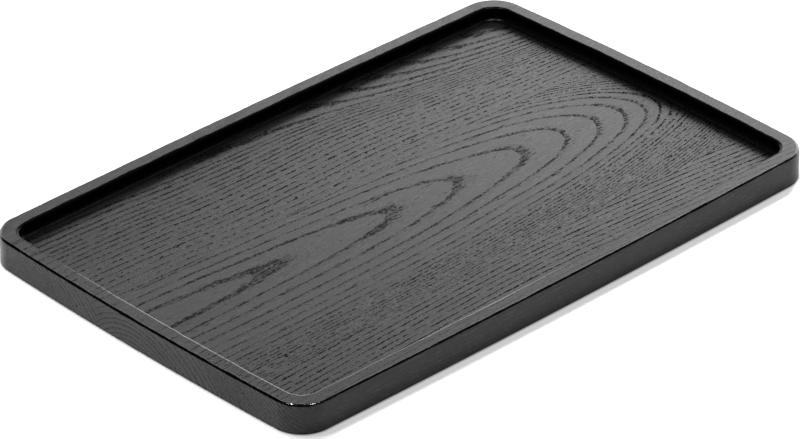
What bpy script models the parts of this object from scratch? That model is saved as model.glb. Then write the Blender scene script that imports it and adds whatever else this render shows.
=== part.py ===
"""Milled wooden serving tray, black stained, as a Blender 4.5 script (metres, +Z up).

The real tray is a panel of three boards glued edge to edge, with the grain along its length.
The panel is milled as one: a shallow well leaves a rim all round, the ends and the long sides
bow gently outwards, and the corners and arrises are rounded over.

+X runs along the length, -Y is the front long side, and the origin is at the middle of the
underside. Each board is a solid of its own, cut out of the milled panel between its glue lines.
"""
import math

import bmesh
import bpy

# Overall sizes
LENGTH = 0.394
WIDTH = 0.260
HEIGHT = 0.018

# How far each end and each long side bows out at its middle, from the line through its ends
END_BOW = 0.0031
SIDE_BOW = 0.0021

# Rim and well
RIM_WIDTH = 0.0104
WELL_DEPTH = 0.0076
OUTER_CORNER_RADIUS = 0.019
WELL_CORNER_RADIUS = 0.011
COVE_RADIUS = 0.003

# Rounded arrises: the rim's outer and inner edges, and the edge round the foot
RIM_ARRIS = 0.0012
LIP_ARRIS = 0.0006
FOOT_ARRIS = 0.0008

# Boards: the widths of the two outer ones, the middle one fills what is left
BACK_BOARD_WIDTH = 0.098
FRONT_BOARD_WIDTH = 0.047
GLUE_LINE = 0.0003

# What is left on a blank, or cut past a face, so that no cut meets a face exactly
ALLOWANCE = 0.002

# A fillet takes at most these shares of what carries it
COVE_SHARE = 0.6
ARRIS_SHARE = 0.4

# Curve quality, as counts of straight segments
CORNER_SEGMENTS = 10
END_SEGMENTS = 4
SIDE_SEGMENTS = 6
COVE_SEGMENTS = 5
RIM_ARRIS_SEGMENTS = 3
SMALL_ARRIS_SEGMENTS = 2

# Merge distance for the loose caps of a filled curve
WELD_DISTANCE = 0.00001

STAIN = (0.035, 0.034, 0.033, 1.0)
STAIN_ROUGHNESS = 0.38


def clear_scene():
    for item in list(bpy.data.objects):
        bpy.data.objects.remove(item, do_unlink=True)


def new_collection(name):
    collection = bpy.data.collections.new(name)
    bpy.context.scene.collection.children.link(collection)
    return collection


def stained_wood(name):
    material = bpy.data.materials.new(name)
    material.use_nodes = True
    shader = material.node_tree.nodes["Principled BSDF"]
    shader.inputs["Base Color"].default_value = STAIN
    shader.inputs["Roughness"].default_value = STAIN_ROUGHNESS
    shader.inputs["Metallic"].default_value = 0.0
    return material


def bow_radius(half_chord, bow):
    """Radius of the arc that rises by bow over its chord."""
    return (half_chord ** 2 + bow ** 2) / (2 * bow)


def arc(centre, radius, start, end, segments):
    points = []
    for step in range(segments):
        angle = start + (end - start) * step / segments
        x = centre[0] + radius * math.cos(angle)
        y = centre[1] + radius * math.sin(angle)
        points.append((x, y))
    return points


def bowed_outline(inset, corner_radius):
    """Closed outline of the tray, moved inwards by inset: bowed sides joined by tangent corners.

    One quarter is an arc of the end, the corner and an arc of the long side. The corner's
    centre is where the two side arcs, each moved in by the corner radius, cross.
    """
    end_radius = bow_radius(WIDTH / 2, END_BOW) - inset
    side_radius = bow_radius(LENGTH / 2, SIDE_BOW) - inset
    end_centre = (LENGTH / 2 - inset - end_radius, 0.0)
    side_centre = (0.0, WIDTH / 2 - inset - side_radius)
    end_reach = end_radius - corner_radius
    side_reach = side_radius - corner_radius
    apart = math.dist(end_centre, side_centre)
    along = (end_reach ** 2 - side_reach ** 2 + apart ** 2) / (2 * apart)
    across = math.sqrt(end_reach ** 2 - along ** 2)
    unit_x = (side_centre[0] - end_centre[0]) / apart
    unit_y = (side_centre[1] - end_centre[1]) / apart
    corner_x = end_centre[0] + unit_x * along - unit_y * across
    corner_y = end_centre[1] + unit_y * along + unit_x * across
    corner_centre = (corner_x, corner_y)
    end_turn = math.atan2(corner_y - end_centre[1], corner_x - end_centre[0])
    side_turn = math.atan2(corner_y - side_centre[1], corner_x - side_centre[0])
    quarter = arc(end_centre, end_radius, 0.0, end_turn, END_SEGMENTS)
    quarter += arc(corner_centre, corner_radius, end_turn, side_turn, CORNER_SEGMENTS)
    quarter += arc(side_centre, side_radius, side_turn, math.pi / 2, SIDE_SEGMENTS)
    side_middle = (0.0, WIDTH / 2 - inset)
    end_middle = quarter[0]
    upper_half = quarter + [side_middle] + [(-x, y) for x, y in reversed(quarter)]
    lower_half = [(x, -y) for x, y in reversed(upper_half)]
    lower_half.remove((end_middle[0], -end_middle[1]))
    lower_half.remove((-end_middle[0], -end_middle[1]))
    return upper_half + lower_half


def prism(name, outline, bottom, top):
    """Upright solid with the given outline: a filled flat curve, made a mesh with welded caps."""
    curve = bpy.data.curves.new(name, "CURVE")
    curve.dimensions = "2D"
    curve.fill_mode = "BOTH"
    curve.extrude = (top - bottom) / 2
    spline = curve.splines.new("POLY")
    spline.points.add(len(outline) - 1)
    for point, (x, y) in zip(spline.points, outline):
        point.co = (x, y, 0.0, 1.0)
    spline.use_cyclic_u = True
    flat = bpy.data.objects.new(name + "_curve", curve)
    bpy.context.scene.collection.objects.link(flat)
    flat.location.z = (top + bottom) / 2
    bpy.context.view_layer.update()
    evaluated = flat.evaluated_get(bpy.context.evaluated_depsgraph_get())
    mesh = bpy.data.meshes.new_from_object(evaluated)
    mesh.name = name
    mesh.transform(flat.matrix_world)
    bpy.data.objects.remove(flat, do_unlink=True)
    edit = bmesh.new()
    edit.from_mesh(mesh)
    bmesh.ops.remove_doubles(edit, verts=edit.verts, dist=WELD_DISTANCE)
    bmesh.ops.dissolve_limit(edit, angle_limit=math.radians(0.01), verts=edit.verts, edges=edit.edges)
    bmesh.ops.recalc_face_normals(edit, faces=edit.faces)
    edit.to_mesh(mesh)
    edit.free()
    return bpy.data.objects.new(name, mesh)


def is_level(face, height):
    return abs(face.normal.z) > 0.99 and abs(face.calc_center_median().z - height) < WELD_DISTANCE


def round_edges(item, height, radius, segments, faces_inwards=False):
    """Rounds the loops where the walls meet the level faces at a height.

    faces_inwards picks the loop of a wall that looks towards the middle, such as the well's,
    instead of one that looks away from it.
    """
    edit = bmesh.new()
    edit.from_mesh(item.data)
    loop = []
    for edge in edit.edges:
        level = [face for face in edge.link_faces if is_level(face, height)]
        walls = [face for face in edge.link_faces if abs(face.normal.z) < 0.5]
        if len(level) != 1 or len(walls) != 1:
            continue
        outward = walls[0].calc_center_median().to_2d().dot(walls[0].normal.to_2d())
        if (outward < 0) == faces_inwards:
            loop.append(edge)
    bmesh.ops.bevel(
        edit, geom=loop, offset=radius, segments=segments, profile=0.5, affect="EDGES", clamp_overlap=True
    )
    edit.to_mesh(item.data)
    edit.free()


def keep_as_cutter(item, collection):
    collection.objects.link(item)
    item.hide_render = True
    item.display_type = "WIRE"


def add_boolean(item, operand, operation):
    boolean = item.modifiers.new(operation.lower(), "BOOLEAN")
    boolean.operation = operation
    boolean.solver = "EXACT"
    boolean.object = operand


def well_cutter(cutters):
    """The shape that the well is milled with, from its coved floor to above the rim."""
    floor = HEIGHT - WELL_DEPTH
    cutter = prism("well_cutter", bowed_outline(RIM_WIDTH, WELL_CORNER_RADIUS), floor, HEIGHT + ALLOWANCE)
    cove = min(COVE_RADIUS, WELL_DEPTH * COVE_SHARE, WELL_CORNER_RADIUS * COVE_SHARE)
    round_edges(cutter, floor, cove, COVE_SEGMENTS)
    keep_as_cutter(cutter, cutters)
    return cutter


def milled_panel(cutters):
    """The whole tray as one solid: the shape that each board is cut to."""
    arris_limit = RIM_WIDTH * ARRIS_SHARE
    panel = prism("milled_panel", bowed_outline(0.0, OUTER_CORNER_RADIUS), 0.0, HEIGHT)
    keep_as_cutter(panel, cutters)
    add_boolean(panel, well_cutter(cutters), "DIFFERENCE")
    bpy.context.view_layer.update()
    evaluated = panel.evaluated_get(bpy.context.evaluated_depsgraph_get())
    panel.data = bpy.data.meshes.new_from_object(evaluated)
    panel.modifiers.clear()
    round_edges(panel, HEIGHT, min(RIM_ARRIS, arris_limit), RIM_ARRIS_SEGMENTS)
    round_edges(panel, HEIGHT, min(LIP_ARRIS, arris_limit), SMALL_ARRIS_SEGMENTS, faces_inwards=True)
    round_edges(panel, 0.0, min(FOOT_ARRIS, arris_limit), SMALL_ARRIS_SEGMENTS)
    return panel


def board(name, front, back, panel, parts):
    """One board of the panel, between two planes across the width."""
    bpy.ops.mesh.primitive_cube_add(size=1.0)
    blank = bpy.context.object
    blank.name = name
    blank.data.name = name
    blank.scale = (LENGTH + 2 * ALLOWANCE, back - front, HEIGHT + 2 * ALLOWANCE)
    blank.location = (0.0, (back + front) / 2, HEIGHT / 2)
    bpy.ops.object.transform_apply(location=False, rotation=False, scale=True)
    for owner in list(blank.users_collection):
        owner.objects.unlink(blank)
    parts.objects.link(blank)
    blank.data.materials.append(stained_wood(name + "_stain"))
    add_boolean(blank, panel, "INTERSECT")
    return blank


def main():
    clear_scene()
    parts = new_collection("wooden_tray")
    cutters = new_collection("cutters")
    panel = milled_panel(cutters)
    back_joint = WIDTH / 2 - BACK_BOARD_WIDTH
    front_joint = FRONT_BOARD_WIDTH - WIDTH / 2
    half_glue = GLUE_LINE / 2
    board("back_board", back_joint + half_glue, WIDTH / 2 + ALLOWANCE, panel, parts)
    board("middle_board", front_joint + half_glue, back_joint - half_glue, panel, parts)
    board("front_board", -WIDTH / 2 - ALLOWANCE, front_joint - half_glue, panel, parts)


main()
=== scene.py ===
"""Looks of a black stained wooden tray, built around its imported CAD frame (metres, +Z up).

Each of the tray's three boards is a modelled piece with its own solid field of annual rings, so
the grain runs on from the floor over the rim and down the faces. A studio that is white beyond
the tray and dark elsewhere gives the satin surface its greys.
"""
import math

import bmesh
import bpy
from mathutils import Matrix, Vector, noise


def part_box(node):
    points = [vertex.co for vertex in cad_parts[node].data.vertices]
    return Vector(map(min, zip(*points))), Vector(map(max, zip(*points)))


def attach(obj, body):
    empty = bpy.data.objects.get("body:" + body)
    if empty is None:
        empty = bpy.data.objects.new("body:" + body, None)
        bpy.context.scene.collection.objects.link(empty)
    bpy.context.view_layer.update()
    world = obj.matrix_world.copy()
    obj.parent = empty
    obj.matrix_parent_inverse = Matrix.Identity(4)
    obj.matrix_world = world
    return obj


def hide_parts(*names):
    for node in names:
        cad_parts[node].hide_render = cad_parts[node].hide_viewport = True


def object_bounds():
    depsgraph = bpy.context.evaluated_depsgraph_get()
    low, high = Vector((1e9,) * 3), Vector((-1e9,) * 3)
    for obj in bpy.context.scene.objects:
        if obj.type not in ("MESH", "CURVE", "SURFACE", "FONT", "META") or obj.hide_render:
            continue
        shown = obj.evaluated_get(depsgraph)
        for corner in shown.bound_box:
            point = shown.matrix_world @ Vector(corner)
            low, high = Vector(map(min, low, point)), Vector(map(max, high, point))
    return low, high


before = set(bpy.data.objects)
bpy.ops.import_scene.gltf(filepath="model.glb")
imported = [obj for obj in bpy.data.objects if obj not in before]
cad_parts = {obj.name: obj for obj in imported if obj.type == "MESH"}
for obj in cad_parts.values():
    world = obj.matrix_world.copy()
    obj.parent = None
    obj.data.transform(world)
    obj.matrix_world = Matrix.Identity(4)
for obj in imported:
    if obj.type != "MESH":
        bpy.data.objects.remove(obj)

cad_low, cad_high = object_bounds()
MM = 0.001

# The tray, from the frame
LENGTH = cad_high.x - cad_low.x
WIDTH = cad_high.y - cad_low.y
HEIGHT = cad_high.z - cad_low.z
BACK_JOINT = (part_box("back_board")[0].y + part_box("middle_board")[1].y) / 2
FRONT_JOINT = (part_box("front_board")[1].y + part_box("middle_board")[0].y) / 2

# Its outline and section, as in the CAD source
END_BOW = 3.1 * MM
SIDE_BOW = 2.1 * MM
RIM_WIDTH = 10.4 * MM
WELL_DEPTH = 7.6 * MM
OUTER_CORNER_RADIUS = 19.0 * MM
WELL_CORNER_RADIUS = 11.0 * MM
COVE_RADIUS = 3.0 * MM
RIM_ARRIS = 1.2 * MM
END_ARRIS = 1.45 * MM
CORNER_ARRIS = 1.9 * MM
LIP_ARRIS = 1.75 * MM
FOOT_ARRIS = 0.4 * MM
FLOOR_HEIGHT = HEIGHT - WELL_DEPTH

# The boards meet at a hairline
SEAM = 0.03 * MM

# How much the hand-sanded arrises vary, and over what length
ARRIS_VARIATION = 0.3
ARRIS_WAVE = 14.0 * MM
ARRIS_DENTS = 0.16
DENT_WAVE = 3.5 * MM

# Wear by place: 1 is polished, 0 is as the flats are, and below 0 is duller than they are. Away
# from 0 it also paints shade, darkening the colour towards the earlywood's
ARRIS_WEAR_AND_SHADE = 1.0
COVE_WEAR_AND_SHADE = -0.85
WALL_WEAR_AND_SHADE = -1.0
# The floor by the walls is duller and painted darker as shade, fading out over this reach
WALL_FOOT_WEAR_AND_SHADE = -0.65
WALL_FOOT_REACH = 3.2 * MM
FAR_LIP_WEAR_AND_SHADE = -1.0
NEAR_LIP_WEAR_AND_SHADE = 0.7

# The near lip's polish ends this far from the near left corner, and fades over the last part
BRIGHT_LIP = 210 * MM
LIP_FADE = 70 * MM

# Counts of straight steps
END_STEPS = 70
CORNER_STEPS = 30
SIDE_STEPS = 110
ARRIS_STEPS = 8
POLISH_STEPS = 3
SMALL_ARRIS_STEPS = 5
COVE_STEPS = 9

# Rows of points on the flats: shares of the way between their edges, or from an edge to the middle
UNDERSIDE_ROWS = (1.0, 0.6, 0.2, 0.02)
FACE_ROWS = (0.08, 0.5, 0.92)
RIM_ROWS = (0.0, 0.5, 1.0)
WALL_ROWS = (0.15, 0.85)
FLOOR_ROWS = (0.1, 0.2, 0.6, 1.0)

# How far the next row stands from a round
SUPPORT = 0.35 * MM

# Half the length of the middle line on which the rows of the underside and of the floor meet
SPINE = 100 * MM

# Edges that turn more than this are shaded sharp, and points nearer than this are joined
SHARP_ANGLE = math.radians(50)
WELD = 0.001 * MM

# Camera, fitted to the tray's edges in the photo
AZIMUTH = math.radians(-42.804)
ELEVATION = math.radians(30.963)
ROLL = math.radians(-0.898)
DISTANCE = 2.6824
TARGET = Vector((-0.004498, -0.001074, 0.0))
LENS = 217.32
SENSOR = 36.0
CLIP_START = 0.05
CLIP_END = 50.0

# White table, with a painted contact shadow: a dark line where the tray rests on it
FLOOR_COLOUR = (0.86, 0.86, 0.86, 1.0)
FLOOR_SIZE = 8.0
FLOOR_GAP = 0.1 * MM
FLOOR_LIFT = 0.57
CONTACT_REACH = 1.5 * MM
CONTACT_POWER = 1.5
CONTACT_SAMPLES = 8

# Surround: its white and its dark level, the sines of the elevations between which the white
# fades upwards, the cosines between which it sets in from the sides, and where its middle stands
SURROUND = 2.2
DARK_SIDE = 0.012
SURROUND_FULL = math.sin(math.radians(28))
SURROUND_TOP = math.sin(math.radians(38))
SURROUND_ENDS = (0.5, 0.8)
SURROUND_AZIMUTH = math.radians(47.2)

# Lamps, by the direction in which they stand, and a white card on the right
KEY_DIRECTION = Vector((-0.12, 0.25, 0.94))
KEY_SIZE = (0.6, 0.07)
KEY_RADIANCE = 155.0
FILL_DIRECTION = Vector((0.62, 0.21, 0.74))
FILL_SIZE = (0.1, 0.1)
FILL_RADIANCE = 550.0
LAMP_DISTANCE = 2.0
CARD_PLACE = (0.8, 0.45)
CARD_SIZE = (1.3, 0.66)
CARD_RADIANCE = 1.26
GLINT_DIRECTION = Vector((0.14, -0.10, 0.98))
GLINT_SIZE = (0.07, 0.42)
GLINT_RADIANCE = 190.0
SMALL_GLINT_DIRECTION = Vector((-0.23, 0.2, 0.94))
SMALL_GLINT_SIZE = (0.12, 0.12)
SMALL_GLINT_RADIANCE = 220.0

# Stain and lacquer
LATEWOOD = (0.014, 0.014, 0.014, 1.0)
EARLYWOOD = (0.0015, 0.0015, 0.0015, 1.0)
SHINE = 0.47

# How well the lacquer fills the pores: on each side's rim, on the long outer faces, and below.
# The power says how soon the ends' own value gives way to the long faces' one at a corner.
SEALED_LEFT = 0.2
SEALED_RIGHT = 0.8
SEALED_FRONT = 0.5
SEALED_BACK = 0.75
SEALED_FACE = 0.85
SEALED_BELOW = 0.5
SEALED_POWER = 4

# How strongly each board's pores show
BACK_STRENGTH = 1.04
MIDDLE_STRENGTH = 1.06
FRONT_STRENGTH = 1.12


def bow_radius(half_chord, bow):
    """Radius of the arc that rises by bow over its chord."""
    return (half_chord ** 2 + bow ** 2) / (2 * bow)


def arc(centre, radius, start, end, steps):
    """Stations along an arc, without its last one: each a point and its outward direction."""
    stations = []
    for step in range(steps):
        angle = start + (end - start) * step / steps
        outward = Vector((math.cos(angle), math.sin(angle), 0.0))
        stations.append((centre + radius * outward, outward))
    return stations


def outline(inset, corner_radius):
    """Closed loop of stations round the tray, with bowed sides and tangent corners, moved inwards
    by inset."""
    end_radius = bow_radius(WIDTH / 2, END_BOW) - inset
    side_radius = bow_radius(LENGTH / 2, SIDE_BOW) - inset
    end_centre = Vector((LENGTH / 2 - inset - end_radius, 0.0, 0.0))
    side_centre = Vector((0.0, WIDTH / 2 - inset - side_radius, 0.0))
    end_reach = end_radius - corner_radius
    side_reach = side_radius - corner_radius
    apart = (side_centre - end_centre).length
    along = (end_reach ** 2 - side_reach ** 2 + apart ** 2) / (2 * apart)
    across = math.sqrt(end_reach ** 2 - along ** 2)
    unit = (side_centre - end_centre) / apart
    corner = end_centre + unit * along + Vector((-unit.y, unit.x, 0.0)) * across
    to_end = corner - end_centre
    to_side = corner - side_centre
    end_turn = math.atan2(to_end.y, to_end.x)
    side_turn = math.atan2(to_side.y, to_side.x)
    half = arc(end_centre, end_radius, 0.0, end_turn, END_STEPS)
    half += arc(corner, corner_radius, end_turn, side_turn, CORNER_STEPS)
    half += arc(side_centre, side_radius, side_turn, math.pi / 2, SIDE_STEPS)
    mirror = Matrix.Diagonal((-1.0, 1.0, 1.0))
    middle = (Vector((0.0, WIDTH / 2 - inset, 0.0)), Vector((0.0, 1.0, 0.0)))
    half += [middle] + [(mirror @ point, mirror @ outward) for point, outward in reversed(half)]
    half.pop()
    return half + [(-point, -outward) for point, outward in half]


def worn(radius, place, seed):
    """An arris radius at a place on the outline, varied as by hand sanding."""
    shift = Vector((0.0, 0.0, seed))
    slow = noise.noise(place / ARRIS_WAVE + shift)
    fast = noise.noise(place / DENT_WAVE + shift)
    return radius * (1 + ARRIS_VARIATION * slow + ARRIS_DENTS * fast)


def fillet(start, end, steps):
    """Quarter round between two pairs of values. It leaves the start along the first value, and
    reaches the end along the second."""
    points = []
    for step in range(steps + 1):
        turn = math.pi / 2 * step / steps
        first = start[0] + (end[0] - start[0]) * math.sin(turn)
        second = start[1] + (end[1] - start[1]) * (1 - math.cos(turn))
        points.append((first, second))
    return points


def lip_polish_and_shade(place, outward):
    """Wear of the lip: bright on the near sides by the near left corner, and dull elsewhere. Its
    colour is painted darker as shade, most where it is dull.
    """
    near = (outward.x ** 2 * (outward.x < 0) + outward.y ** 2 * (outward.y < 0)) ** 2
    reach = (place + Vector((LENGTH / 2, WIDTH / 2, 0.0))).length
    near *= min(1.0, max(0.0, (BRIGHT_LIP - reach) / LIP_FADE))
    return NEAR_LIP_WEAR_AND_SHADE * near + FAR_LIP_WEAR_AND_SHADE * (1 - near)


def section(outer, well):
    """Points of one cross-section, from the middle of the underside round the rim to the middle of
    the floor: each a place, its wear with its painted shade, and how well its pores are filled."""
    place, outward = outer
    well_place, well_outward = well
    along, across = outward.x ** 2, outward.y ** 2
    corner = 4 * along * across
    rim = RIM_ARRIS * across + END_ARRIS * along
    rim = worn(rim + (CORNER_ARRIS - rim) * corner, place, 1.0)
    lip = worn(LIP_ARRIS, well_place, 2.0)
    foot = worn(FOOT_ARRIS, place, 3.0)
    sealed = along * (SEALED_RIGHT if outward.x > 0 else SEALED_LEFT)
    sealed += across * (SEALED_BACK if outward.y > 0 else SEALED_FRONT)
    face_sealed = SEALED_FACE + (SEALED_LEFT - SEALED_FACE) * along ** SEALED_POWER
    lip_wear_and_shade = lip_polish_and_shade(place, outward)
    points = []

    def add(base, direction, inset, height, wear_and_shade=0.0, seal=0.0):
        points.append((base - direction * inset + Vector((0.0, 0.0, height)), wear_and_shade, seal))

    def spine(base, direction, inset, height, shares, seal=0.0):
        edge = base - direction * inset
        middle = Vector((max(-SPINE, min(SPINE, base.x)), 0.0, 0.0))
        for share in shares:
            points.append((edge.lerp(middle, share) + Vector((0.0, 0.0, height)), 0.0, seal))

    # Underside, its small arris and the outer face
    spine(place, outward, foot, 0.0, UNDERSIDE_ROWS, SEALED_BELOW)
    for inset, height in fillet((foot, 0.0), (0.0, foot), SMALL_ARRIS_STEPS):
        add(place, outward, inset, height, 0.0, face_sealed)
    for share in FACE_ROWS:
        add(place, outward, 0.0, foot + (HEIGHT - rim - foot) * share, 0.0, face_sealed)

    # Outer arris, glossy and painted dark as shade from a few steps above the face, the rim's flat,
    # and the lip, whose colour is painted dark as shade too
    arris = fillet((HEIGHT - rim, 0.0), (HEIGHT, rim), ARRIS_STEPS)
    for step, (height, inset) in enumerate(arris):
        add(place, outward, inset, height, ARRIS_WEAR_AND_SHADE * min(1.0, step / POLISH_STEPS), sealed)
    rim_edge = place - outward * (rim + SUPPORT)
    lip_edge = well_place + well_outward * (lip + SUPPORT)
    for share in RIM_ROWS:
        points.append((rim_edge.lerp(lip_edge, share) + Vector((0.0, 0.0, HEIGHT)), 0.0, sealed))
    for inset, height in fillet((-lip, HEIGHT), (0.0, HEIGHT - lip), ARRIS_STEPS):
        add(well_place, well_outward, inset, height, lip_wear_and_shade, sealed)

    # Wall, cove and floor, duller where they meet, and painted dark as shade on the wall, the cove
    # and the floor by the wall
    top, foot_of_wall = HEIGHT - lip, FLOOR_HEIGHT + COVE_RADIUS
    for share in WALL_ROWS:
        add(well_place, well_outward, 0.0, top + (foot_of_wall - top) * share, WALL_WEAR_AND_SHADE)
    for height, inset in fillet((foot_of_wall, 0.0), (FLOOR_HEIGHT, COVE_RADIUS), COVE_STEPS):
        add(well_place, well_outward, inset, height, COVE_WEAR_AND_SHADE)
    add(well_place, well_outward, COVE_RADIUS + SUPPORT, FLOOR_HEIGHT, WALL_FOOT_WEAR_AND_SHADE)
    add(well_place, well_outward, COVE_RADIUS + WALL_FOOT_REACH, FLOOR_HEIGHT)
    spine(well_place, well_outward, COVE_RADIUS, FLOOR_HEIGHT, FLOOR_ROWS)
    return points


def panel_mesh():
    """The whole tray as one closed bmesh. Its layers hold each point's wear and painted shade
    (arris) and how well its pores are filled (sealed)."""
    panel = bmesh.new()
    wear_and_shade = panel.verts.layers.float.new("arris")
    seal = panel.verts.layers.float.new("sealed")
    outer = outline(0.0, OUTER_CORNER_RADIUS)
    well = outline(RIM_WIDTH, WELL_CORNER_RADIUS)
    rows = []
    for outer_station, well_station in zip(outer, well):
        row = []
        for point, wear_and_shade_share, sealed_share in section(outer_station, well_station):
            vertex = panel.verts.new(point)
            vertex[wear_and_shade] = wear_and_shade_share
            vertex[seal] = sealed_share
            row.append(vertex)
        rows.append(row)
    for here, there in zip(rows, rows[1:] + rows[:1]):
        for low in range(len(here) - 1):
            panel.faces.new((here[low], there[low], there[low + 1], here[low + 1]))
    bmesh.ops.remove_doubles(panel, verts=panel.verts, dist=WELD)
    bmesh.ops.recalc_face_normals(panel, faces=panel.faces)
    return panel


def trim(board, place, keep_back):
    """Cuts a board's bmesh at a plane across the width and closes the cut."""
    toward = Vector((0.0, -1.0 if keep_back else 1.0, 0.0))
    everything = board.verts[:] + board.edges[:] + board.faces[:]
    cut = bmesh.ops.bisect_plane(
        board, geom=everything, plane_co=(0.0, place, 0.0), plane_no=toward, clear_outer=True
    )
    edges = [item for item in cut["geom_cut"] if isinstance(item, bmesh.types.BMEdge)]
    bmesh.ops.edgeloop_fill(board, edges=edges)


def make_board(name, panel, front, back, material):
    """One board of the panel, between two planes across the width. None leaves a side whole."""
    board = panel.copy()
    if front is not None:
        trim(board, front + SEAM / 2, True)
    if back is not None:
        trim(board, back - SEAM / 2, False)
    bmesh.ops.recalc_face_normals(board, faces=board.faces)
    mesh = bpy.data.meshes.new(name)
    board.to_mesh(mesh)
    board.free()
    mesh.shade_smooth()
    mesh.set_sharp_from_angle(angle=SHARP_ANGLE)
    mesh.materials.append(material)
    piece = bpy.data.objects.new(name, mesh)
    bpy.context.scene.collection.objects.link(piece)
    return piece


class Web:
    """Short ways to add nodes to one shader tree. A value is a number, a tuple or a socket."""

    def __init__(self, tree):
        self.tree = tree

    def node(self, kind, **settings):
        made = self.tree.nodes.new(kind)
        for name, value in settings.items():
            setattr(made, name, value)
        return made

    def feed(self, value, socket):
        if isinstance(value, bpy.types.NodeSocket):
            self.tree.links.new(value, socket)
        else:
            socket.default_value = value

    def math(self, operation, *values):
        made = self.node("ShaderNodeMath", operation=operation)
        for value, socket in zip(values, made.inputs):
            self.feed(value, socket)
        return made.outputs[0]

    def add(self, first, *others):
        for other in others:
            first = self.math("ADD", first, other)
        return first

    def times(self, first, *others):
        for other in others:
            first = self.math("MULTIPLY", first, other)
        return first

    def minus(self, first, second):
        return self.math("SUBTRACT", first, second)

    def larger(self, first, second):
        return self.math("MAXIMUM", first, second)

    def linear(self, value, slope, start=1.0):
        """start + slope * value."""
        return self.math("MULTIPLY_ADD", value, slope, start)

    def hypot(self, first, second):
        squares = self.add(self.times(first, first), self.times(second, second))
        return self.math("SQRT", squares)

    def step(self, value, low, high, to_low=0.0, to_high=1.0):
        """Smooth change from to_low to to_high while value goes from low to high."""
        made = self.node("ShaderNodeMapRange", interpolation_type="SMOOTHSTEP")
        for item, socket in zip((value, low, high, to_low, to_high), made.inputs):
            self.feed(item, socket)
        return made.outputs[0]

    def fade(self, value, low, high):
        """Smooth change from 1 to 0 while value goes from low to high."""
        return self.step(value, low, high, 1.0, 0.0)

    def vector(self, x, y, z):
        made = self.node("ShaderNodeCombineXYZ")
        for value, socket in zip((x, y, z), made.inputs):
            self.feed(value, socket)
        return made.outputs[0]

    def noise(self, axes, waves, roughness=0.5, detail=2.0):
        """Noise from 0 to 1 over three axes, with its own count of waves per unit on each."""
        made = self.node("ShaderNodeTexNoise")
        scaled = [self.times(axis, count) for axis, count in zip(axes, waves)]
        self.feed(self.vector(*scaled), made.inputs["Vector"])
        self.feed(1.0, made.inputs["Scale"])
        self.feed(detail, made.inputs["Detail"])
        self.feed(roughness, made.inputs["Roughness"])
        return made.outputs[0]

    def mix(self, share, first, second):
        made = self.node("ShaderNodeMix", data_type="RGBA")
        self.feed(share, made.inputs["Factor"])
        self.feed(first, made.inputs["A"])
        self.feed(second, made.inputs["B"])
        return made.outputs["Result"]

    def curve(self, value, points):
        """Smooth curve through (in, out) points, level outside them."""
        ins = [point[0] for point in points]
        outs = [point[1] for point in points]
        low, high = min(outs), max(outs)
        made = self.node("ShaderNodeFloatCurve")
        line = made.mapping.curves[0]
        while len(line.points) < len(points):
            line.points.new(0.5, 0.5)
        for point, place, out in zip(line.points, ins, outs):
            point.location = ((place - ins[0]) / (ins[-1] - ins[0]), (out - low) / (high - low))
        made.mapping.update()
        share = self.math("DIVIDE", self.minus(value, ins[0]), ins[-1] - ins[0])
        self.feed(share, made.inputs["Value"])
        return self.linear(made.outputs[0], high - low, low)

    def cells(self, axes, sizes):
        """Cells of the given sizes: distance from a cell's middle, and the cell's chance value."""
        made = self.node("ShaderNodeTexVoronoi")
        scaled = [self.times(axis, 1 / size) for axis, size in zip(axes, sizes)]
        self.feed(self.vector(*scaled), made.inputs["Vector"])
        self.feed(1.0, made.inputs["Scale"])
        parts = self.node("ShaderNodeSeparateColor")
        self.feed(made.outputs["Color"], parts.inputs[0])
        return made.outputs["Distance"], parts.outputs[0]


def ring_widths(rings):
    """Widths of the rings at their radius, from a table of the ring count by radius."""
    widths = []
    for (inner, first), (outer, last) in zip(rings, rings[1:]):
        widths.append(((inner + outer) / 2, (outer - inner) / (last - first)))
    return widths


# Ring fields, all in millimetres: x along the grain, y to the back, z up from the underside.
# Each gives the distance from the pith, the way round it, the count of rings, a ring's width and
# how far its rows of pores run on, from 0 for short dashes to 1 for long ones.

FLOOR_MM = FLOOR_HEIGHT / MM

# Middle board: the pith runs below it, and goes deeper and to the front on the right
MIDDLE_PITH_Y = ((-200, 2.0), (-110, -1.2), (-11, -4.0), (42, -5.0), (87, -7.0), (116, -8.0),
                 (140, -10.5), (160, -13.5), (174, -16.5), (200, -22.0))
MIDDLE_PITH_DEPTH = ((-200, 44.6), (-100, 46.0), (-12, 48.7), (40, 52.0), (87, 55.8), (116, 59.4),
                     (140, 63.3), (160, 67.3), (174, 70.6), (200, 77.0))
MIDDLE_RINGS = ((24, -8), (42, -1.2), (45.6, 0), (48.3, 1), (51.4, 2), (55.2, 3), (59.0, 4),
                (62.7, 5), (66.2, 6), (69.3, 7), (74, 9.3), (85, 17), (100, 28.5), (130, 52))
MIDDLE_RUN = (1.6, 2.8)

# Its rings are a little narrower behind the pith than in front of it, and the pith's way to the
# side counts less and less in front of an edge
MIDDLE_SKEW = 0.0015
DRIFT_EDGE = -15.0
DRIFT_REACH = 38.0

# Back board: the pith runs below its back edge and comes up on the right
BACK_PITH_Y = ((-200, 123.0), (-120, 119.5), (-60, 116.5), (20, 119.0), (200, 121.0))
BACK_PITH_DEPTH = ((-200, 84.0), (-40, 83.6), (20, 82.5), (80, 78.5), (140, 73.5), (200, 69.0))
BACK_RINGS = ((60, -14), (80, -4), (84.1, -1.5), (85.0, 0), (88.3, 3), (92.8, 6), (99.7, 9),
              (107.8, 12), (117.8, 15), (130, 19))
BACK_RUN = (60.0, 90.0)

# Front board: nearly straight grain, whose rings dip towards the front
FRONT_BEND = ((-200, 6.0), (-100, 2.0), (0, 0.0), (60, 3.0), (200, 16.0))
FRONT_DIP = math.radians(35)
FRONT_RING_WIDTH = 2.3
FRONT_RUN = 0.5

# The finish, in millimetres too. WAVES are a noise's waves per millimetre along the grain, then on
# two axes across it. The other pairs are the ends of a smooth change.
NOISE_MEAN = 0.5

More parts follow.
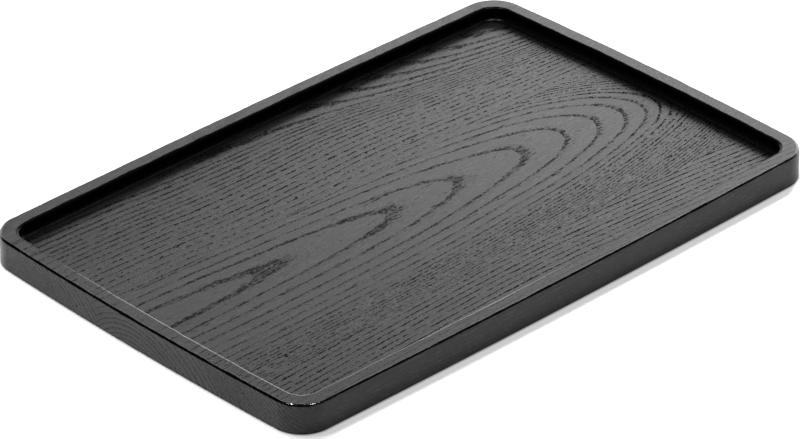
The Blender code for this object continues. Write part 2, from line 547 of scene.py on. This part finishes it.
# How ring edges wander, in rings, and the zones of a ring by the distance past its edge
SLOW_WAVES = (0.03, 0.08, 0.25)
SLOW_WANDER = 0.22
QUICK_WAVES = (0.16, 0.5, 0.6)
QUICK_WANDER = 0.16
LEAST_RING = 1.8
RING_EDGE = (0.0, 0.06)
EARLYWOOD_FADE = 0.35
EARLYWOOD_END = 0.9
EARLYWOOD_CHANCE = 0.3
LINE_ZONE = (0.12, 0.3)
OPEN_ZONE = (0.5, 2.0)

# Dashes: the streaks that they are cut from, and the bar over which a streak shows. The bar is
# lower in the earlywood and in clumps, and changes from ring to ring.
SHORT_WAVES = (0.28, 0.8, 0.8)
SHORT_ROUGHNESS = 0.6
LONG_WAVES = (0.075, 0.7, 0.7)
LONG_ROUGHNESS = 0.65
CLUMP_WAVES = (0.05, 0.3, 0.3)
BAR = 0.795
BAR_EARLYWOOD = -0.27
BAR_CLUMP = -0.25
BAR_CHANCE = 0.16
BAR_CHANCE_BY_RUN = -0.12
CHANCE_MIDDLE = 0.4
DASH_LOW = -0.04
DASH_LOW_BY_RUN = -0.01
DASH_HIGH = 0.045
RIDGE = (-0.16, -0.04)

# Small pores on their own, and specks that break up the dashes
PORE_SIZE = (1.8, 0.6, 0.6)
PORE_EDGE = (0.3, 0.6)
PORE_SHARE = 0.4
PORE_SOFTNESS = 0.05
SPECK_WAVES = (0.6, 0.9, 0.9)
SPECK_EDGE = (0.36, 0.52)
SPECK_LEAST = 0.35

# How dark each kind of open pore is, and what takes from it
LINE_DARK = 0.7
BAND_DARK = 0.48
PORE_DARK = 0.5
END_DARK = 0.45
DARK_BY_RUN = -0.13
DARK_BY_WEAR = -0.6

# Lacquer: slow patches, fine grit, and what they and the rest do to its tone, gloss and height
PATCH_WAVES = (0.012, 0.12, 0.05)
GRIT_WAVES = (0.8, 1.2, 1.2)
DENT_WAVES = (0.5, 0.5, 0.5)
GRIT_OPEN = 2.2
GRIT_LEAST = 0.08
GRIT_BY_SEAL = -0.8
TONE_LEAST = 0.5
TONE_PATCH = 0.5
TONE_GRIT = 0.5
ROUGH = 0.23
ROUGH_GRIT = 0.1
ROUGH_DARK = 0.08
ROUGH_SIDE = 0.15
ROUGH_WORN = -0.17
GLOSS = 0.94
GLOSS_PATCH = 0.12
GLOSS_RIDGE = 0.5
GLOSS_END = -0.04
GLOSS_SIDE = -0.36
GLOSS_DULL = 0.85
GLOSS_WORN = 0.7
GLOSS_SEALED = -0.08
GLOSS_PER_MM = -0.0006
GLOSS_DARK = -0.97
RISE_GRIT = 0.4
RISE_DENTS = 2.0
RISE_DARK = -0.3
BUMP_DISTANCE = 0.05 * MM
BUMP_STRENGTH = 0.6

# What the finish takes in, in this order, and what it gives
FINISH_INPUTS = ("X", "Y", "Z", "Radius", "Around", "Ring", "Width", "Run", "Strength",
                 "Arris", "Sealed", "End", "Side")
FINISH_VALUES = ("Roughness", "Shine", "Height")


def middle_rings(web, x, y, z):
    distance = web.larger(web.minus(DRIFT_EDGE, y), 0.0)
    share = web.math("DIVIDE", distance, DRIFT_REACH)
    drift = web.math("EXPONENT", web.times(share, share, -0.5))
    off = web.minus(y, web.times(web.curve(x, MIDDLE_PITH_Y), drift))
    off = web.times(off, web.linear(off, MIDDLE_SKEW))
    above = web.add(web.curve(x, MIDDLE_PITH_DEPTH), web.minus(z, FLOOR_MM))
    radius = web.hypot(off, above)
    around = web.times(web.math("ARCTAN2", off, above), radius)
    width = web.curve(radius, ring_widths(MIDDLE_RINGS))
    return radius, around, web.curve(radius, MIDDLE_RINGS), width, web.step(width, *MIDDLE_RUN)


def back_rings(web, x, y, z):
    off = web.minus(y, web.curve(x, BACK_PITH_Y))
    above = web.add(web.curve(x, BACK_PITH_DEPTH), web.minus(z, FLOOR_MM))
    radius = web.hypot(off, above)
    around = web.times(web.math("ARCTAN2", off, above), radius)
    width = web.curve(radius, ring_widths(BACK_RINGS))
    return radius, around, web.curve(radius, BACK_RINGS), width, web.step(y, *BACK_RUN)


def front_rings(web, x, y, z):
    bent = web.add(y, web.curve(x, FRONT_BEND))
    up = web.minus(z, FLOOR_MM)
    sine, cosine = math.sin(FRONT_DIP), math.cos(FRONT_DIP)
    radius = web.minus(web.times(up, cosine), web.times(bent, sine))
    around = web.add(web.times(up, sine), web.times(bent, cosine))
    ring = web.math("DIVIDE", radius, FRONT_RING_WIDTH)
    return radius, around, ring, FRONT_RING_WIDTH, FRONT_RUN


def ring_zones(web, x, around, radius, ring, width, run):
    """Earlywood, the line at a ring's edge, the zone with open pores, and the ring's chance."""
    axes = (x, around, radius)
    slow = web.minus(web.noise(axes, SLOW_WAVES), NOISE_MEAN)
    quick = web.minus(web.noise(axes, QUICK_WAVES), NOISE_MEAN)
    wander = web.add(web.times(slow, SLOW_WANDER), web.times(quick, QUICK_WANDER))
    count = web.add(ring, wander)
    chance = web.node("ShaderNodeTexWhiteNoise", noise_dimensions="1D")
    web.feed(web.math("FLOOR", count), chance.inputs["W"])
    luck = chance.outputs["Value"]
    past = web.times(web.math("FRACT", count), web.larger(width, LEAST_RING))
    edge = web.step(past, *RING_EDGE)
    last = web.linear(luck, EARLYWOOD_CHANCE, EARLYWOOD_END)
    earlywood = web.times(edge, web.fade(past, EARLYWOOD_FADE, last))
    line = web.times(edge, run, web.fade(past, *LINE_ZONE))
    return earlywood, line, web.fade(past, *OPEN_ZONE), luck


def pore_dashes(web, place, run, earlywood, luck):
    """Dashes of pores in a row, longer where the grain runs on, and the ridges that border them."""
    short = web.noise(place, SHORT_WAVES, SHORT_ROUGHNESS)
    long = web.noise(place, LONG_WAVES, LONG_ROUGHNESS)
    streak = web.add(short, web.times(run, web.minus(long, short)))
    clump = web.noise(place, CLUMP_WAVES)
    bar = web.linear(earlywood, BAR_EARLYWOOD, web.linear(clump, BAR_CLUMP, BAR))
    swing = web.linear(run, BAR_CHANCE_BY_RUN, BAR_CHANCE)
    bar = web.add(bar, web.times(web.minus(luck, CHANCE_MIDDLE), swing))
    above = web.minus(streak, bar)
    dash = web.step(above, web.linear(run, DASH_LOW_BY_RUN, DASH_LOW), DASH_HIGH)
    return dash, web.minus(web.step(above, *RIDGE), dash)


def open_pores(web, place, run, end, dash, line, earlywood, open_zone):
    """How dark its pores make a place: the dashes and the ring's line, broken up by specks, small
    pores on their own near the earlywood, and the earlywood's cut pores on an end."""
    distance, luck = web.cells(place, PORE_SIZE)
    lead = web.minus(web.times(open_zone, PORE_SHARE), luck)
    shown = web.step(lead, -PORE_SOFTNESS, PORE_SOFTNESS)
    pore = web.times(shown, web.fade(distance, *PORE_EDGE))
    speck = web.noise(place, SPECK_WAVES, detail=1.0)
    band = web.larger(web.times(line, LINE_DARK), web.times(earlywood, run, BAND_DARK))
    rows = web.times(web.larger(dash, band), web.step(speck, *SPECK_EDGE, SPECK_LEAST, 1.0))
    single = web.larger(web.times(pore, PORE_DARK), web.times(earlywood, end, END_DARK))
    return web.larger(rows, single)


def wood_group():
    """Node group with the open-pored, ring-porous finish that all boards share."""
    group = bpy.data.node_groups.new("open_pored_wood", "ShaderNodeTree")
    for name in FINISH_INPUTS:
        group.interface.new_socket(name, in_out="INPUT", socket_type="NodeSocketFloat")
    group.interface.new_socket("Colour", in_out="OUTPUT", socket_type="NodeSocketColor")
    for name in FINISH_VALUES:
        group.interface.new_socket(name, in_out="OUTPUT", socket_type="NodeSocketFloat")
    web = Web(group)
    given = list(web.node("NodeGroupInput").outputs)[:len(FINISH_INPUTS)]
    x, y, z, radius, around, ring, width, run, strength, arris, sealed, end, side = given
    outputs = web.node("NodeGroupOutput").inputs
    place = (x, y, z)

    # Pores, fainter where the lacquer fills them or the surface is worn
    earlywood, line, open_zone, luck = ring_zones(web, x, around, radius, ring, width, run)
    dash, ridge = pore_dashes(web, place, run, earlywood, luck)
    dark = open_pores(web, place, run, end, dash, line, earlywood, open_zone)
    wear_and_shade_share = web.larger(arris, 0.0)
    dull_share = web.math("MINIMUM", arris, 0.0)
    firm = web.times(strength, web.linear(run, DARK_BY_RUN))
    dark = web.times(dark, web.minus(1.0, sealed), firm, web.linear(wear_and_shade_share, DARK_BY_WEAR))
    dark = web.math("MINIMUM", dark, 1.0)

    # Slow change of the lacquer along and across the board, and fine grit in it
    patch = web.noise((x, radius, around), PATCH_WAVES)
    grit = web.noise(place, GRIT_WAVES, detail=1.0)
    lively = web.linear(open_zone, GRIT_OPEN, GRIT_LEAST)
    lively = web.times(lively, web.linear(sealed, GRIT_BY_SEAL))

    # Colour, as dark as the earlywood in the pores, and painted dark as shade where the wear value
    # is away from 0: on the arrises, lips, walls, cove and the floor by the walls
    tone = web.add(web.times(patch, TONE_PATCH), web.times(grit, TONE_GRIT), TONE_LEAST)
    latewood = web.node("ShaderNodeVectorMath", operation="SCALE")
    latewood.inputs[0].default_value = LATEWOOD[:3]
    web.feed(tone, latewood.inputs["Scale"])
    # Painted shade joins the pores here: the size of the wear value darkens the colour
    pores_and_shade = web.larger(dark, web.math("ABSOLUTE", arris))
    web.feed(web.mix(pores_and_shade, latewood.outputs[0], EARLYWOOD), outputs["Colour"])

    rough = web.linear(dark, ROUGH_DARK, web.linear(grit, ROUGH_GRIT, ROUGH))
    rough = web.linear(side, ROUGH_SIDE, rough)
    web.feed(web.linear(wear_and_shade_share, ROUGH_WORN, rough), outputs["Roughness"])

    ripple = web.times(web.minus(grit, NOISE_MEAN), lively)
    gloss = web.add(web.times(patch, GLOSS_PATCH), ripple, GLOSS)
    gloss = web.linear(web.times(ridge, firm), GLOSS_RIDGE, gloss)
    turned = web.linear(side, GLOSS_SIDE, web.linear(end, GLOSS_END))
    gloss = web.times(gloss, turned, web.linear(dull_share, GLOSS_DULL), SHINE)
    gloss = web.times(gloss, web.linear(web.times(wear_and_shade_share, wear_and_shade_share), GLOSS_WORN))
    gloss = web.times(gloss, web.linear(sealed, GLOSS_SEALED), web.linear(y, GLOSS_PER_MM))
    web.feed(web.times(gloss, web.linear(dark, GLOSS_DARK)), outputs["Shine"])

    dents = web.times(web.noise(place, DENT_WAVES), wear_and_shade_share, RISE_DENTS)
    rise = web.add(web.times(grit, lively, RISE_GRIT), dents)
    web.feed(web.linear(dark, RISE_DARK, rise), outputs["Height"])
    return group


def wood_material(name, rings, strength, group):
    """Material of one board, from its ring field and the shared finish."""
    material = bpy.data.materials.new(name)
    material.use_nodes = True
    web = Web(material.node_tree)
    shader = material.node_tree.nodes["Principled BSDF"]
    place = web.node("ShaderNodeVectorMath", operation="SCALE")
    web.feed(web.node("ShaderNodeTexCoord").outputs["Object"], place.inputs[0])
    place.inputs["Scale"].default_value = 1 / MM
    axes = web.node("ShaderNodeSeparateXYZ")
    web.feed(place.outputs[0], axes.inputs[0])
    x, y, z = axes.outputs
    radius, around, ring, width, run = rings(web, x, y, z)
    arris = web.node("ShaderNodeAttribute", attribute_name="arris").outputs["Fac"]
    sealed = web.node("ShaderNodeAttribute", attribute_name="sealed").outputs["Fac"]
    facing = web.node("ShaderNodeSeparateXYZ")
    web.feed(web.node("ShaderNodeTexCoord").outputs["Normal"], facing.inputs[0])
    end = web.times(facing.outputs["X"], facing.outputs["X"])
    side = web.times(facing.outputs["Y"], facing.outputs["Y"])
    finish = web.node("ShaderNodeGroup", node_tree=group)
    values = (x, y, z, radius, around, ring, width, run, strength, arris, sealed, end, side)
    for value, socket in zip(values, finish.inputs):
        web.feed(value, socket)
    bump = web.node("ShaderNodeBump")
    web.feed(finish.outputs["Height"], bump.inputs["Height"])
    bump.inputs["Distance"].default_value = BUMP_DISTANCE
    bump.inputs["Strength"].default_value = BUMP_STRENGTH
    web.feed(finish.outputs["Colour"], shader.inputs["Base Color"])
    web.feed(finish.outputs["Roughness"], shader.inputs["Roughness"])
    web.feed(finish.outputs["Shine"], shader.inputs["Specular IOR Level"])
    web.feed(bump.outputs["Normal"], shader.inputs["Normal"])
    return material


def make_boards():
    """The three boards, cut from one panel, each in place of its CAD node."""
    group = wood_group()
    panel = panel_mesh()
    plan = (
        ("back_board", BACK_JOINT, None, back_rings, BACK_STRENGTH),
        ("middle_board", FRONT_JOINT, BACK_JOINT, middle_rings, MIDDLE_STRENGTH),
        ("front_board", None, FRONT_JOINT, front_rings, FRONT_STRENGTH),
    )
    for node, front, back, rings, strength in plan:
        material = wood_material(node + "_stain", rings, strength, group)
        piece = make_board(node + "_wood", panel, front, back, material)
        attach(piece, "root")
        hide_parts(node)
    panel.free()


def view_axes():
    """Right, up and back directions of the camera."""
    back = Vector((
        math.sin(AZIMUTH) * math.cos(ELEVATION),
        -math.cos(AZIMUTH) * math.cos(ELEVATION),
        math.sin(ELEVATION),
    ))
    right = Vector((0.0, 0.0, 1.0)).cross(back).normalized()
    up = back.cross(right)
    rolled_right = right * math.cos(ROLL) + up * math.sin(ROLL)
    rolled_up = up * math.cos(ROLL) - right * math.sin(ROLL)
    return rolled_right, rolled_up, back


def make_camera():
    right, up, back = view_axes()
    data = bpy.data.cameras.new("camera")
    data.lens = LENS
    data.sensor_width = SENSOR
    data.clip_start = CLIP_START
    data.clip_end = CLIP_END
    camera = bpy.data.objects.new("camera", data)
    turn = Matrix((right, up, back)).transposed().to_4x4()
    camera.matrix_world = Matrix.Translation(TARGET + back * DISTANCE) @ turn
    bpy.context.scene.collection.objects.link(camera)
    bpy.context.scene.camera = camera


def make_floor():
    """White table. It looks lifted to white, but the lift fades in the thin line where the tray
    rests on it, as a painted contact shadow, and it keeps the tray's shadow."""
    half = FLOOR_SIZE / 2
    corners = [(-half, -half, 0.0), (half, -half, 0.0), (half, half, 0.0), (-half, half, 0.0)]
    mesh = bpy.data.meshes.new("table")
    mesh.from_pydata(corners, [], [(0, 1, 2, 3)])
    floor = bpy.data.objects.new("table", mesh)
    floor.location.z = -FLOOR_GAP
    bpy.context.scene.collection.objects.link(floor)
    material = bpy.data.materials.new("table_white")
    material.use_nodes = True
    material.node_tree.nodes.clear()
    web = Web(material.node_tree)
    diffuse = web.node("ShaderNodeBsdfDiffuse")
    diffuse.inputs["Color"].default_value = FLOOR_COLOUR
    path = web.node("ShaderNodeLightPath")
    seen = web.add(path.outputs["Is Camera Ray"], path.outputs["Is Glossy Ray"])
    seen = web.add(seen, path.outputs["Is Transmission Ray"])
    # Painted contact shadow: the lift dims where the tray stands close by
    contact_shade = web.node("ShaderNodeAmbientOcclusion", samples=CONTACT_SAMPLES)
    contact_shade.inputs["Distance"].default_value = CONTACT_REACH
    open_share = web.math("POWER", contact_shade.outputs["AO"], CONTACT_POWER)
    lift = web.node("ShaderNodeEmission")
    lifted = web.times(web.math("MINIMUM", seen, 1.0), open_share, FLOOR_LIFT)
    web.feed(lifted, lift.inputs["Strength"])
    both = web.node("ShaderNodeAddShader")
    web.feed(diffuse.outputs[0], both.inputs[0])
    web.feed(lift.outputs[0], both.inputs[1])
    web.feed(both.outputs[0], web.node("ShaderNodeOutputMaterial").inputs["Surface"])
    mesh.materials.append(material)


def make_world():
    """Surround that is white low down beyond the tray and dark elsewhere. The camera sees white."""
    brightest = Vector((math.cos(SURROUND_AZIMUTH), math.sin(SURROUND_AZIMUTH), 0.0))
    world = bpy.data.worlds.new("studio")
    bpy.context.scene.world = world
    world.use_nodes = True
    world.node_tree.nodes.clear()
    web = Web(world.node_tree)
    direction = web.node("ShaderNodeTexCoord").outputs["Generated"]
    axes = web.node("ShaderNodeSeparateXYZ")
    web.feed(direction, axes.inputs[0])
    facing = web.node("ShaderNodeVectorMath", operation="DOT_PRODUCT")
    web.feed(direction, facing.inputs[0])
    facing.inputs[1].default_value = brightest
    low = web.fade(axes.outputs["Z"], SURROUND_FULL, SURROUND_TOP)
    beyond = web.step(facing.outputs["Value"], *SURROUND_ENDS)
    level = web.linear(web.times(low, beyond), SURROUND - DARK_SIDE, DARK_SIDE)
    camera_ray = web.node("ShaderNodeLightPath").outputs["Is Camera Ray"]
    background = web.node("ShaderNodeBackground")
    web.feed(web.larger(level, camera_ray), background.inputs["Strength"])
    web.feed(background.outputs[0], web.node("ShaderNodeOutputWorld").inputs["Surface"])


def add_lamp(name, place, direction, size, radiance, on_surfaces=True, in_reflections=True):
    """Flat light of an even radiance, facing along a direction, that the camera doesn't see. It
    may light only the surfaces, or show only in reflections."""
    data = bpy.data.lights.new(name, "AREA")
    data.shape = "RECTANGLE"
    data.size, data.size_y = size
    data.energy = radiance * math.pi * size[0] * size[1]
    lamp = bpy.data.objects.new(name, data)
    lamp.location = place
    lamp.rotation_euler = direction.to_track_quat("-Z", "Y").to_euler()
    lamp.visible_camera = False
    lamp.visible_diffuse = on_surfaces
    lamp.visible_glossy = in_reflections
    bpy.context.scene.collection.objects.link(lamp)


def make_lights():
    """Two lamps high up, behind the tray and to its right, whose shadows meet in a narrow strip in
    front of it, two small ones that only glint on it, and a white card beyond its right end."""
    lamps = (
        ("key", KEY_DIRECTION, KEY_SIZE, KEY_RADIANCE, True, False),
        ("fill", FILL_DIRECTION, FILL_SIZE, FILL_RADIANCE, True, False),
        ("glint", GLINT_DIRECTION, GLINT_SIZE, GLINT_RADIANCE, False, True),
        ("small_glint", SMALL_GLINT_DIRECTION, SMALL_GLINT_SIZE, SMALL_GLINT_RADIANCE, False, True),
    )
    for name, direction, size, radiance, on_surfaces, in_reflections in lamps:
        place = direction.normalized() * LAMP_DISTANCE
        add_lamp(name, place, -direction, size, radiance, on_surfaces, in_reflections)
    card_middle = Vector((CARD_PLACE[0], CARD_PLACE[1], CARD_SIZE[1] / 2))
    add_lamp("card", card_middle, Vector((-1.0, 0.0, 0.0)), CARD_SIZE, CARD_RADIANCE)


make_boards()
make_camera()
make_floor()
make_world()
make_lights()
bpy.context.scene.view_settings.view_transform = "Standard"
